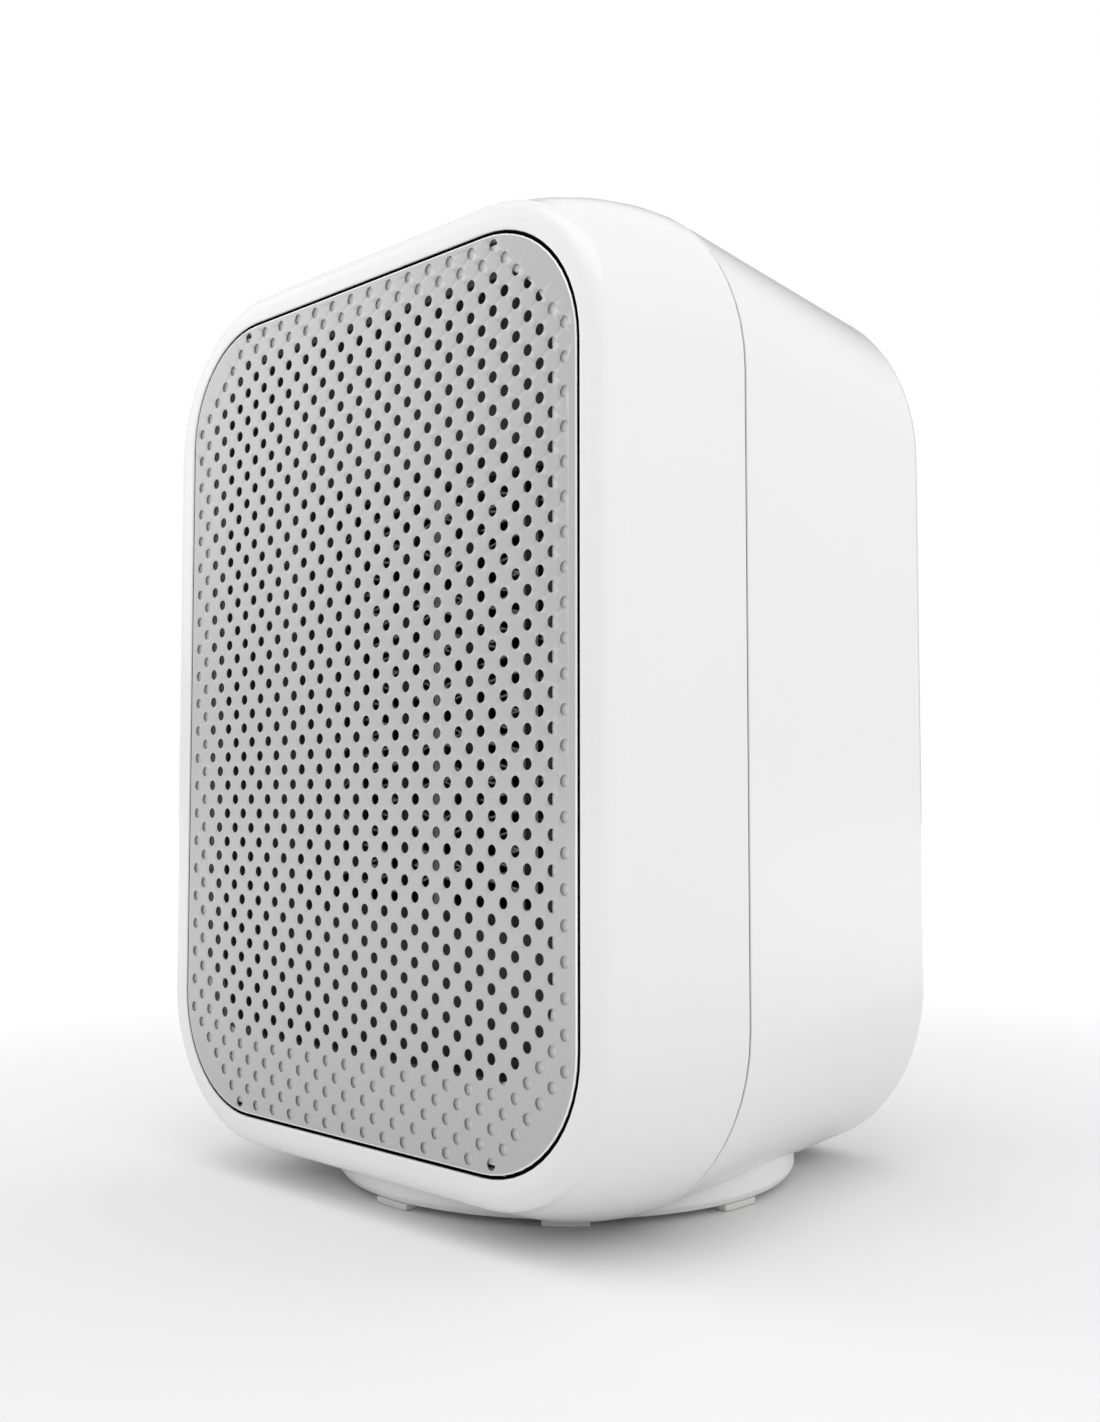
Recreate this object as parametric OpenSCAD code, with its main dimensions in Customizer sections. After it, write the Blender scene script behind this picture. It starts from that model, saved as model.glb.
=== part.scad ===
// Palm-sized desktop fan heater: a rounded two-shell housing that turns on a low round base.
// Millimetres, +Z up. The air leaves through the grille towards -Y. The origin is on the swivel
// axis, at the floor.

/* [Housing] */
// Width at the joint between the two shells
body_w = 102.8; // [101:0.2:106]
// Height from the lowest point of the housing to its top
body_h = 134.9; // [134:0.1:137]
// Depth from the bezel to the back
body_d = 81; // [80:0.5:84]
// Corner radius at the joint between the shells
corner_r = 26.6; // [26:0.1:27.4]
// Wall thickness of both shells
wall = 2.2; // [2:0.1:2.4]
// Depth of the front shell
front_d = 20.9; // [20.5:0.1:21.5]
// How much the front shell draws in towards the bezel, on each side
front_taper = 3.7; // [3:0.1:4]
// How much the rear shell draws in towards the back, on its left and on its right
rear_taper = 12.4; // [10:0.1:12.6]
// Radius of the bezel's front edge
bezel_r = 2.8; // [2:0.1:3]
// Radius of the back edge
back_r = 5; // [4:0.2:5]
// Width of the visible joint between the shells
seam = 0.3; // [0.2:0.05:0.5]

/* [Grille] */
// Width of the bezel's opening
grille_w = 85.4; // [85:0.1:86]
// Height of the bezel's opening
grille_h = 118.2; // [118:0.1:119]
// Corner radius of the opening
grille_r = 17; // [16:0.1:18]
// Thickness of the perforated plate
grille_t = 0.5; // [0.4:0.1:0.8]
// Distance between neighbouring columns, and between neighbouring rows, of staggered holes
hole_pitch = 2.12; // [2.05:0.01:2.13]
// Diameter of one hole
hole_d = 1.5; // [1.2:0.02:1.6]
// Number of hole columns
hole_cols = 39; // [39:2:39]
// Number of hole rows
hole_rows = 55; // [55:2:55]
// Rows over which the hole field's corners are cut off
corner_rows = 6; // [4:1:8]

/* [Air path] */
// Width of the clear opening behind the grille
outlet_w = 75.2; // [74:0.2:76]
// Height of the clear opening behind the grille
outlet_h = 102; // [100:0.5:103]
// Corner radius of the clear opening
outlet_r = 12; // [8:0.5:14]
// Height of the clear opening's middle above the middle of the housing
outlet_rise = 3.3; // [3:0.1:3.4]
// Height of the heater's and the fan's axis above the middle of the housing
axis_rise = 2.1; // [1:0.1:3]
// Width of the heater window
window_w = 55; // [54:0.5:56]
// Height of the heater window
window_h = 64; // [63:0.5:65]
// Radius of the fan's blades
fan_r = 33; // [31:0.5:33.5]
// Number of fan blades
fan_blades = 7; // [5:1:9]
// Height of one whole fold of the heater's zigzag strips
fold_pitch = 2.7; // [2.4:0.1:3.6]

/* [Base] */
// Radius of the base
base_r = 34.4; // [34:0.1:34.8]
// Height of the pads under the base
pad_h = 0.95; // [0.8:0.05:1]
// Gap between the floor and the housing
floor_gap = 1.1; // [1.05:0.05:1.3]
// Number of pads
pads = 8; // [6:1:8]

/* [Controls] */
// Radius of the power button
button_r = 6.3; // [5.5:0.1:6.4]
// Height of the power button's axis
button_z = 27; // [26.5:0.1:27.5]
// Radius of the cord hole through the inlet gland
cord_hole_r = 3.3; // [3:0.1:3.5]

/* [Hidden] */

white = "white";
dark = "#3c3c3e";
steel = "silver";
fit = 0.05;        // clearance of a turning or sliding fit, on the radius
gap = 0.3;         // clearance between pieces that must not touch

// Planes along the depth
y_front = -body_d / 2;
y_back = body_d / 2;
y_seam = y_front + front_d;
front_wall = 3;
y_ledge = y_front + front_wall;
flange_t = 2;
y_flange = y_front + 10;
y_heater = y_front + 14.3;
heater_t = 14;
y_duct_end = y_heater + heater_t + 0.8;
y_shroud = y_duct_end + flange_t;

// Dark groove in the ledge, under the plate's edge
groove_w = 1;
groove_t = 1.5;
plate_gap = 0.35;

// Heights
mid_z = floor_gap + body_h / 2;
air_z = mid_z + axis_rise;
base_top = 5.6;
pocket_r = base_r + 0.6;
roof_z = 6.3;
floor_top = roof_z + 2;
board_z = 15;
board_t = 1.6;
board_top = board_z + board_t;

// Half sizes of the box that joins the centres of the housing's rounded corners
core_x = body_w / 2 - corner_r;
core_z = body_h / 2 - corner_r;

// Swivel post, retainer and tip-over plunger
post_r = 9.9;
post_top = 9.05;
retainer_r = 15;
retainer_t = 1.8;
retainer_screw_r = 6.8;
chamber_r = 4.2;
plunger_r = 1.9;
plunger_top = 18;
collar_z = 3.7;
collar_t = 1.1;
cover_t = 1.2;
cover_r = 30;
cover_screw_r = 22;
pad_l = 6.4;

// Fasteners
screw_r = 1.5;
pilot_r = 1.55;
shell_posts = [[-18, mid_z + 59.4], [18, mid_z + 59.4], [-26, 15], [26, 15]];
post_outer_r = 4;
duct_posts = [for (x = [-1, 1], z = [-1, 1]) [x * 42.6, air_z + z * 32]];
shroud_w = 77;
shroud_h = 78;
shroud_posts = [for (x = [-1, 1], z = [-1, 1]) [x * 34.5, air_z + z * 35]];
board_posts = [[-17, -13], [17, -13], [-17, 29], [17, 29]];
board_w = 41;
board_y0 = -17;
board_y1 = 33;

// Heater core: bars and folded strips, as distances from the middle
core_w = 49.6;
core_h = 60.4;
tube_w = 3;
tube_x = [7.1, 19.3];
divider_w = 1.2;
strip_spans = [[0.6, 5.6], [8.6, 17.8], [20.8, 24.6]];
strip_t = 0.25;
terminal_y = y_heater + 6.5;
terminal_top = 42.3;

// Fan and motor
hub_r = 12;
shroud_gap = 1.2;
shroud_t = 2;
motor_r = 13.8;
motor_y = 12;
motor_l = 20;
shaft_r = 1;

// Intake in the back and the grille's tabs
slot_w = 2.4;
slot_pitch = 4.4;
intake_r = 31;
tab_x = 13 * hole_pitch;
tab_w = 4;
led_z = 36;
lens_r = 1.5;
gland_z = 13.8;
gland_r = 4.2;
gland_rim_r = 5.4;
gland_rim_t = 0.9;

function sq(v) = v * v;
// The angles of n equal shares of a turn
function shares(n) = [for (i = [0 : n - 1]) i * 360 / n];

// ---- Shared shapes ----

// A rounded rectangle about the origin
module rrect(w, h, r) {
    square([w - 2 * r, h], center = true);
    square([w, h - 2 * r], center = true);
    for (x = [-1, 1], y = [-1, 1])
        translate([x * (w / 2 - r), y * (h / 2 - r)]) circle(r = r, $fn = 64);
}

// A flat shape drawn as X and Z, made solid from depth y0 to y1
module slab(y0, y1) {
    translate([0, y1, 0]) rotate([90, 0, 0]) linear_extrude(y1 - y0) children();
}

// A rod along Y
module rod_y(x, z, r, y0, y1) {
    translate([x, y0, z]) rotate([-90, 0, 0]) cylinder(r = r, h = y1 - y0, $fn = 48);
}

// A rod along Z
module rod_z(x, y, r, z0, z1) {
    translate([x, y, z0]) cylinder(r = r, h = z1 - z0, $fn = 48);
}

// A flat ring about the swivel axis
module ring_z(inner, outer, z0, z1) {
    difference() {
        rod_z(0, 0, outer, z0, z1);
        rod_z(0, 0, inner, z0 - 1, z1 + 1);
    }
}

// A ring about an axis along Y
module ring_y(z, inner, outer, y0, y1) {
    difference() {
        rod_y(0, z, outer, y0, y1);
        rod_y(0, z, inner, y0 - 1, y1 + 1);
    }
}

// A profile, drawn as distance out from the corner centres and depth, swept round the housing
module housing_sweep() {
    translate([0, 0, mid_z]) rotate([-90, 0, 0]) {
        for (k = [0 : 3]) {
            sx = (k == 0 || k == 3) ? 1 : -1;
            sy = k < 2 ? 1 : -1;
            translate([sx * core_x, sy * core_z, 0]) rotate([0, 0, 90 * k])
                rotate_extrude(angle = 90, $fn = 96) children();
            out = k % 2 == 0 ? core_x : core_z;
            along = k % 2 == 0 ? core_z : core_x;
            rotate([0, 0, 90 * k]) translate([out, 0, 0]) rotate([90, 0, 0])
                linear_extrude(2 * along, center = true) children();
        }
    }
}

// The middle block that a filled sweep leaves open
module housing_core(y0, y1) {
    slab(y0, y1) translate([0, mid_z]) square([2 * core_x, 2 * core_z], center = true);
}

// A thin slice of the rear shell, drawn in by side on its left and right and by edge all round
module rear_slice(y, side, edge) {
    r = corner_r - edge;
    for (x = [-1, 1], z = [-1, 1])
        translate([x * (core_x - side), y, mid_z + z * core_z])
            rotate([-90, 0, 0]) cylinder(r = r, h = 0.01, $fn = 56);
}

// A pan-head screw pointing along -Z, its head's seat at the origin
module screw(r, l, head_r = 2.8, head_h = 1.8) {
    slot = min(0.6, head_h / 2);
    difference() {
        cylinder(r = head_r, h = head_h, $fn = 32);
        translate([-head_r, -slot / 2, head_h - slot]) cube([2 * head_r, slot, 2 * slot]);
        translate([-slot / 2, -head_r, head_h - slot]) cube([slot, 2 * head_r, 2 * slot]);
    }
    translate([0, 0, -l]) cylinder(r = r, h = l, $fn = 32);
}

// A wire through the given points
module wire(points, r = 0.9) {
    for (i = [0 : len(points) - 2]) {
        d = points[i + 1] - points[i];
        l = norm(d);
        translate(points[i]) rotate([0, acos(d.z / l), atan2(d.y, d.x)]) cylinder(r = r, h = l, $fn = 24);
    }
    for (i = [1 : len(points) - 2]) translate(points[i]) rotate([37, 23, 0]) sphere(r = r + 0.06, $fn = 24);
}

// ---- Shells ----

curve_steps = 9;
skin_run = front_d - bezel_r;
// Distance that the front shell's skin draws in, s going from 0 at the seam to 1 at the bezel edge
function front_skin(s, t) = [corner_r - front_taper * sq(s) - t, y_seam - skin_run * s];
front_q = corner_r - front_taper;
front_outline = concat(
    [for (i = [0 : curve_steps]) front_skin(i / curve_steps, 0)],
    [for (a = [15 : 15 : 90])
        [front_q - bezel_r * (1 - cos(a)), y_front + bezel_r * (1 - sin(a))]]
);
front_cavity_outline = concat(
    [for (i = [0 : curve_steps - 1]) front_skin(i / curve_steps, wall)],
    [[front_q - wall, y_ledge]]
);

module front_filled(outline, y0) {
    last = outline[len(outline) - 1];
    housing_sweep() polygon(concat([[0, y_seam]], outline, [[0, last.y]]));
    housing_core(y0, y_seam);
}

// The recess for the plate, deeper under the plate's edge
module plate_recess() {
    y_seat = y_front + grille_t;
    difference() {
        slab(y_front - 1, y_seat + groove_t) translate([0, mid_z]) rrect(grille_w, grille_h, grille_r);
        slab(y_seat, y_seat + groove_t + 1) translate([0, mid_z])
            rrect(grille_w - 2 * groove_w, grille_h - 2 * groove_w, grille_r - groove_w);
    }
}

module front_shell() {
    boss_r = 3;
    tab_slot = 1.7;
    color(white) difference() {
        union() {
            difference() {
                front_filled(front_outline, y_front);
                front_filled(front_cavity_outline, y_ledge);
            }
            intersection() {
                front_filled(front_outline, y_front);
                rod_z(0, 0, pocket_r + wall, 0, floor_top);
            }
            for (p = duct_posts) rod_y(p.x, p.y, boss_r, y_ledge - 1, y_flange);
            for (p = shell_posts) rod_y(p.x, p.y, boss_r, y_ledge - 1, y_seam - 1);
        }
        plate_recess();
        slab(y_front - 1, y_ledge + 1) translate([0, mid_z + outlet_rise])
            rrect(outlet_w, outlet_h, outlet_r);
        for (x = [-1, 1], z = [-1, 1]) {
            slot_z = mid_z + (z * (grille_h - tab_slot) - tab_slot) / 2;
            translate([x * tab_x - tab_w / 2 - gap, y_front, slot_z])
                cube([tab_w + 2 * gap, front_wall + 1, tab_slot]);
        }
        housing_sweep() translate([corner_r - wall - 2.7, y_seam - 3.3]) square([2.6, 4]);
        rod_z(0, 0, pocket_r, -1, roof_z);
        for (p = duct_posts) rod_y(p.x, p.y, pilot_r, y_ledge, y_flange + 1);
        for (p = shell_posts) rod_y(p.x, p.y, pilot_r, y_seam - 14, y_seam);
        translate([-body_w, y_seam - seam / 2, 0]) cube([2 * body_w, 1, 2 * body_h]);
    }
}

module rear_solid() {
    y_edge = y_back - back_r;
    side = rear_taper * (y_edge - y_seam) / (y_back - y_seam);
    hull() {
        rear_slice(y_seam + seam / 2, 0, 0);
        rear_slice(y_edge, side, 0);
        for (a = [20, 40, 60, 75, 90])
            rear_slice(y_edge + back_r * sin(a) - 0.01, side, back_r * (1 - cos(a)));
    }
}

module rear_cavity() {
    inner_r = back_r - wall;
    y_edge = y_back - back_r;
    side = rear_taper * (y_edge - y_seam) / (y_back - y_seam);
    hull() {
        rear_slice(y_seam - 1, 0, wall);
        rear_slice(y_edge, side, wall);
        for (a = [30, 60, 90])
            rear_slice(y_edge + inner_r * sin(a), side, wall + inner_r * (1 - cos(a)));
    }
}

// Upright intake slots inside a circle
module intake_slots() {
    n = floor(intake_r / slot_pitch - 0.5);
    for (i = [-n : n]) {
        x = i * slot_pitch;
        half = sqrt(sq(intake_r) - sq(x)) - slot_w / 2;
        translate([x, air_z]) {
            square([slot_w, 2 * half], center = true);
            for (z = [-1, 1]) translate([0, z * half]) circle(r = slot_w / 2, $fn = 24);
        }
    }
}

module rear_shell() {
    head_seat = y_seam + 4;
    lip_t = 2.1;
    lip_q = corner_r - wall - 0.3;
    y_inside = y_back - wall;
    color(white) difference() {
        union() {
            difference() {
                rear_solid();
                rear_cavity();
            }
            intersection() {
                rear_solid();
                rod_z(0, 0, pocket_r + wall, 0, floor_top);
            }
            housing_sweep() polygon([
                [lip_q - lip_t, y_seam - 3], [lip_q, y_seam - 3], [lip_q, y_seam + seam / 2],
                [lip_q + 1.2, y_seam + seam / 2], [lip_q + 1.2, y_seam + 2], [lip_q - lip_t, y_seam + 2]]);
            for (p = shell_posts) rod_y(p.x, p.y, post_outer_r, y_seam + 1, y_inside + 0.5);
            for (p = board_posts) rod_z(p.x, p.y, 2.6, floor_top - 0.5, board_z);
        }
        rod_z(0, 0, pocket_r, -1, roof_z);
        rod_z(0, 0, post_r + fit, 0, floor_top + 1);
        slab(y_inside - 1, y_back + 1) intake_slots();
        rod_y(0, button_z, button_r + gap, y_inside - 2, y_back + 1);
        rod_y(0, led_z, lens_r + fit, y_inside - 2, y_back + 1);
        rod_y(0, gland_z, gland_r + fit, y_inside - 2, y_back + 1);
        rod_y(0, gland_z, gland_rim_r + 0.1, y_back - gland_rim_t, y_back + 1);
        for (p = shell_posts) {
            rod_y(p.x, p.y, screw_r + 0.2, y_seam, y_back + 1);
            rod_y(p.x, p.y, 3.05, head_seat, y_back + 1);
        }
        for (p = board_posts) rod_z(p.x, p.y, 1.05, floor_top + 1, board_z + 1);
    }
}

module shell_screws() {
    color(steel) for (p = shell_posts)
        translate([p.x, y_seam + 4, p.y]) rotate([-90, 0, 0]) screw(screw_r, 14);
}

module grille_plate() {
    w = grille_w - 2 * plate_gap;
    h = grille_h - 2 * plate_gap;
    tab_l = 4.2;
    tab_t = 0.6;
    color(steel) {
        slab(y_front, y_front + grille_t) translate([0, mid_z]) difference() {
            rrect(w, h, grille_r - plate_gap);
            for (r = [0 : hole_rows - 1], c = [0 : hole_cols - 1]) {
                cut = max(0, corner_rows - min(r, hole_rows - 1 - r));
                if ((r + c) % 2 == 0 && c >= cut && c < hole_cols - cut)
                    translate(hole_pitch * [c - (hole_cols - 1) / 2, (hole_rows - 1) / 2 - r])
                        circle(d = hole_d, $fn = 24);
            }
        }
        for (x = [-1, 1], z = [-1, 1]) {
            tab_z = mid_z + (z * (h - tab_t) - tab_t) / 2;
            translate([x * tab_x - tab_w / 2, y_front + grille_t / 2, tab_z]) cube([tab_w, tab_l, tab_t]);
        }
    }
}

// ---- Heater and duct ----

sleeve_t = 2;
sleeve_top = air_z + window_h / 2 + sleeve_t;
flange_w = 92;
flange_h = 106.1;
module duct() {
    color(dark) difference() {
        union() {
            slab(y_flange, y_flange + flange_t) translate([0, mid_z + outlet_rise - 0.25])
                rrect(flange_w, flange_h, 13);
            slab(y_ledge + gap, y_flange + 1) translate([0, mid_z + outlet_rise])
                rrect(outlet_w + 3.2, outlet_h + 3.2, outlet_r + 1.6);
            slab(y_flange, y_duct_end) translate([0, air_z])
                rrect(window_w + 2 * sleeve_t, window_h + 2 * sleeve_t, 4);
            slab(y_duct_end - 2, y_duct_end) translate([0, air_z]) rrect(shroud_w, shroud_h, 4);
        }
        slab(y_ledge, y_flange) translate([0, mid_z + outlet_rise])
            rrect(outlet_w + 0.6, outlet_h + 0.6, outlet_r + gap);
        slab(y_flange - 1, y_duct_end + 1) translate([0, air_z]) rrect(window_w, window_h, 2.5);
        for (p = duct_posts) rod_y(p.x, p.y, screw_r + 0.1, y_flange - 1, y_flange + 5);
        for (p = shroud_posts) rod_y(p.x, p.y, screw_r - 0.4 + fit, y_duct_end - 3, y_duct_end + 1);
        for (x = tube_x) translate([-x - 3.6, terminal_y - 3, air_z + window_h / 2 - 1]) cube([7.2, 6, 5]);
    }
}

module duct_screws() {
    color(steel) for (p = duct_posts)
        translate([p.x, y_flange + flange_t, p.y]) rotate([-90, 0, 0]) screw(screw_r, 8);
}

module heater_frame() {
    color("#2c2c2e") difference() {
        slab(y_heater, y_heater + heater_t) translate([0, air_z]) difference() {
            rrect(window_w - 0.2, window_h - 0.2, 2.3);
            square([core_w, core_h], center = true);
        }
        for (x = tube_x)
            translate([-x - 3.4, terminal_y - 0.7, air_z + core_h / 2 - 1]) cube([6.8, 1.4, 4]);
    }
}

// One folded strip whose folds reach from x0 to x1
module folded_strip(x0, x1) {
    n = floor((core_h - 1) / fold_pitch) * 2;
    low = -n * fold_pitch / 4;
    side = strip_t / 2 / sin(atan(fold_pitch / 2 / (x1 - x0)));
    fold = [for (i = [0 : n]) [i % 2 == 0 ? x0 + side : x1 - side, low + i * fold_pitch / 2]];
    right = [for (p = fold) [p.x + side, p.y]];
    left = [for (i = [n : -1 : 0]) [fold[i].x - side, fold[i].y]];
    polygon(concat(right, left));
}

module heater_fins() {
    color("#b9babc") for (s = strip_spans, m = [0, 1]) mirror([m, 0, 0])
        slab(y_heater + 0.5, y_heater + heater_t - 0.5) translate([0, air_z]) folded_strip(s[0], s[1]);
}

module heater_tubes() {
    color("#c8c9cb") for (x = tube_x, m = [-1, 1])
        slab(y_heater + 0.2, y_heater + heater_t - 0.2) translate([m * x, air_z]) difference() {
            square([tube_w, core_h - 0.4], center = true);
            square([tube_w - 1, core_h - 1.4], center = true);
        }
}

module divider_plate() {
    color("#c8c9cb") slab(y_heater + 0.2, y_heater + heater_t - 0.2) translate([0, air_z])
        square([divider_w, core_h - 0.4], center = true);
}

module ptc_stones() {
    rows = 3;
    stone_h = 16;
    color("#77706a") for (x = tube_x, m = [-1, 1], k = [-1 : rows - 2])
        slab(y_heater + 2, y_heater + heater_t - 2) translate([m * x, air_z + k * (stone_h + 1.5)])
            square([tube_w - 1.1, stone_h], center = true);
}

module heater_terminals() {
    color("#b08d3c") for (x = tube_x)
        translate([-x - 3.1, terminal_y, air_z]) {
            translate([0, -0.4, core_h / 2 - 0.2]) cube([6.2, 0.8, terminal_top - core_h / 2 + 0.2]);
            translate([0, -2.5, window_h / 2]) cube([6.2, 5, 0.6]);
        }
}

module thermostat() {
    centre = [14, y_heater + 6];
    body_r = 6.4;
    body_l = 6;
    blade = [3, 0.8, 6];
    color("#d8d4c8") rod_z(centre.x, centre.y, body_r, sleeve_top, sleeve_top + body_l);
    color(steel) for (s = [-1, 1])
        translate([centre.x + s * blade.x - blade.x / 2, centre.y - blade.y / 2, sleeve_top + body_l])
            cube(blade);
}

module thermal_fuse() {
    body_r = 2;
    body_l = 7;
    color("#e6e0d0") translate([21.8, y_heater + 7, sleeve_top + body_r])
        rotate([0, 90, 0]) cylinder(r = body_r, h = body_l, $fn = 32);
}

// ---- Fan ----

module fan_shroud() {
    inner = fan_r + shroud_gap;
    arm_y = motor_y + 0.5;
    arm_t = 2.6;
    cup_r = motor_r + fit;
    color("#4a4a4c") difference() {
        union() {
            slab(y_duct_end, y_shroud) translate([0, air_z]) rrect(shroud_w, shroud_h, 4);
            rod_y(0, air_z, inner + shroud_t, y_duct_end, arm_y + arm_t + 0.5);
        }
        rod_y(0, air_z, inner, y_duct_end - 1, arm_y + 4);
        for (p = shroud_posts) rod_y(p.x, p.y, screw_r - 0.3, y_duct_end - 1, y_shroud + 1);
    }
    color("#4a4a4c") difference() {
        union() {
            for (a = shares(4)) translate([0, arm_y, air_z]) rotate([0, a + 45, 0])
                translate([cup_r + 1, 0, -2.5]) cube([inner - cup_r, arm_t, 5]);
            rod_y(0, air_z, cup_r + 2, motor_y - 2, motor_y + 8);
        }
        rod_y(0, air_z, cup_r, motor_y, motor_y + 9);
        rod_y(0, air_z, 4, motor_y - 3, motor_y + 1);
        for (s = [-1, 1]) rod_y(s * 8, air_z, 1.2, motor_y - 3, motor_y + 1);
    }
}

module shroud_screws() {
    color(steel) for (p = shroud_posts)
        translate([p.x, y_shroud, p.y]) rotate([-90, 0, 0]) screw(screw_r - 0.4, 3.6, 2.3, 1.5);
}

module motor_can() {
    boss_y = motor_y - 1.4;
    color("#9a9c9f") difference() {
        union() {
            rod_y(0, air_z, motor_r, motor_y, motor_y + motor_l);
            rod_y(0, air_z, 3.8, boss_y, motor_y + 1);
            rod_y(0, air_z, 5, motor_y + motor_l - 1, motor_y + motor_l + 1.2);
        }
        rod_y(0, air_z, 2.5, boss_y - 1, boss_y + 4);
        rod_y(0, air_z, shaft_r + gap, boss_y, motor_y + motor_l - 4);
        for (s = [-1, 1]) rod_y(s * 8, air_z, 1.05, motor_y - 1, motor_y + 5);
    }
}

module motor_bush() {
    boss_y = motor_y - 1.4;
    color("#b5894a") ring_y(air_z, shaft_r + fit, 2.5, boss_y, boss_y + 4);
}

module motor_screws() {
    color(steel) for (s = [-1, 1])
        translate([s * 8, motor_y - 2, air_z]) rotate([90, 0, 0]) screw(1, 5, 1.9, 1.1);
}

module motor_shaft() {
    color(steel) rod_y(0, air_z, shaft_r, -5.5, motor_y + 10);
}

module fan_impeller() {
    hub_y0 = -6;
    hub_y1 = 7.5;
    blade_pitch = 38;
    blade_t = 1.3;
    blade_chord = 17;
    color("#5a5a5c") difference() {
        union() {
            rod_y(0, air_z, hub_r, hub_y0, hub_y1);
            intersection() {
                ring_y(air_z, hub_r - 1, fan_r, hub_y0, hub_y1);
                for (a = shares(fan_blades)) translate([0, (hub_y0 + hub_y1) / 2, air_z]) rotate([0, a, 0])
                    rotate([blade_pitch, 0, 0]) translate([0, -blade_t / 2, -blade_chord / 2])
                        cube([fan_r + 1, blade_t, blade_chord]);
            }
        }
        rod_y(0, air_z, hub_r - 1.8, hub_y0 + 2, hub_y1 + 1);
        rod_y(0, air_z, shaft_r, hub_y0 - 1, hub_y1 + 1);
    }
    color("#5a5a5c") ring_y(air_z, shaft_r, 3, hub_y0 + 1.9, hub_y1 - 1);
}

// ---- Controls ----

module control_board() {
    color("#2f6b3c") difference() {
        translate([-board_w / 2, board_y0, board_z]) cube([board_w, board_y1 - board_y0, board_t]);
        rod_z(0, 0, 4, board_z - 1, board_top + 1);
        for (p = board_posts) rod_z(p.x, p.y, 1.1, board_z - 1, board_top + 1);
    }
}

module board_screws() {
    color(steel) for (p = board_posts) translate([p.x, p.y, board_top]) screw(1, 5, 2, 1.2);
}

module relay() {
    size = [10, 19, 15];
    color("#2b4f8a") translate([-19, -7, board_top]) cube(size);
}

module capacitor() {
    size = [6, 17, 12];
    color("#c9a23a") translate([12, -8, board_top]) cube(size);
}

module choke() {
    coil_r = 5.5;
    coil_h = 8;
    hole_r = 2.4;
    color("#8a5a2b") translate([13, 17, board_top]) difference() {
        cylinder(r = coil_r, h = coil_h, $fn = 48);
        translate([0, 0, -1]) cylinder(r = hole_r, h = coil_h + 2, $fn = 32);
    }
}

// Sockets of the terminal block, where the heater's leads start
socket_x = [-11.4, -16.6];
lead_y = 19;
module terminal_block() {
    size = [11, 8, 10];
    socket_r = 1.6;
    color("#3d8f5a") difference() {
        translate([-19.5, lead_y - size.y / 2, board_top]) cube(size);
        for (x = socket_x) rod_z(x, lead_y, socket_r, board_top + 4, board_top + size.z + 1);
    }
}

stem_r = 2;
module power_switch() {
    size = [12, 11, button_z - board_top + 6];
    y1 = y_back - 6.5;
    color("#1f1f21") difference() {
        translate([-size.x / 2, y1 - size.y, board_top]) cube(size);
        rod_y(0, button_z, stem_r + gap, y1 - 4, y1 + 1);
    }
}

module power_button() {
    color("#e8e8e8") {
        rod_y(0, button_z, button_r, y_back - 4.2, y_back - 0.2);
        rod_y(0, button_z, stem_r, y_back - 8.4, y_back - 4);
    }
}

module led_lens() {
    collar_r = 2.2;
    color("#f4f4f4") {
        rod_y(0, led_z, lens_r, y_back - 5, y_back);
        rod_y(0, led_z, collar_r, y_back - 5, y_back - wall - 0.1);
    }
}

module inlet_gland() {
    color("#2a2a2c") difference() {
        union() {
            rod_y(0, gland_z, gland_r, y_back - wall - 3, y_back - gland_rim_t);
            rod_y(0, gland_z, gland_rim_r, y_back - gland_rim_t, y_back - 0.1);
            rod_y(0, gland_z, gland_r + 0.7, y_back - wall - 3, y_back - wall - 0.1);
        }
        rod_y(0, gland_z, cord_hole_r, y_back - wall - 4, y_back + 1);
    }
}

// ---- Tip-over cut-out ----

module tip_switch() {
    size = [12.8, 10, 8];
    color("#26262a") difference() {
        translate([-size.x / 2, -size.y / 2, board_top]) cube(size);
        rod_z(0, 0, plunger_r + 0.5, board_top - 1, plunger_top + 0.8);
    }
}

module tip_plunger() {
    color("#d9d2c0") {
        rod_z(0, 0, plunger_r, 0, plunger_top);
        rod_z(0, 0, chamber_r - 0.4, collar_z, collar_z + collar_t);
    }
}

// A coil spring of round wire, swept turn by turn
spring_r = 3;
spring_wire = 0.25;
spring_turns = 3.5;
spring_z0 = collar_z + collar_t + spring_wire + 0.02;
spring_z1 = post_top - spring_wire - 0.02;
function spring_at(t) = [spring_r * cos(360 * spring_turns * t), spring_r * sin(360 * spring_turns * t),
    spring_z0 + (spring_z1 - spring_z0) * t];
module tip_spring() {
    steps = 70;
    sides = 6;
    rings = [for (i = [0 : steps]) let (t = i / steps, a = 360 * spring_turns * t, c = spring_at(t))
        [for (k = [0 : sides - 1]) let (b = 360 * k / sides)
            c + spring_wire * [cos(b) * cos(a), cos(b) * sin(a), sin(b)]]];
    points = [for (ring = rings, p = ring) p];
    walls = [for (i = [0 : steps - 1], k = [0 : sides - 1]) let (n = (k + 1) % sides)
        [i * sides + k, (i + 1) * sides + k, (i + 1) * sides + n, i * sides + n]];
    caps = [[for (k = [0 : sides - 1]) k], [for (k = [sides - 1 : -1 : 0]) steps * sides + k]];
    color(steel) polyhedron(points, concat(walls, caps));
}

// ---- Wires ----

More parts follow.
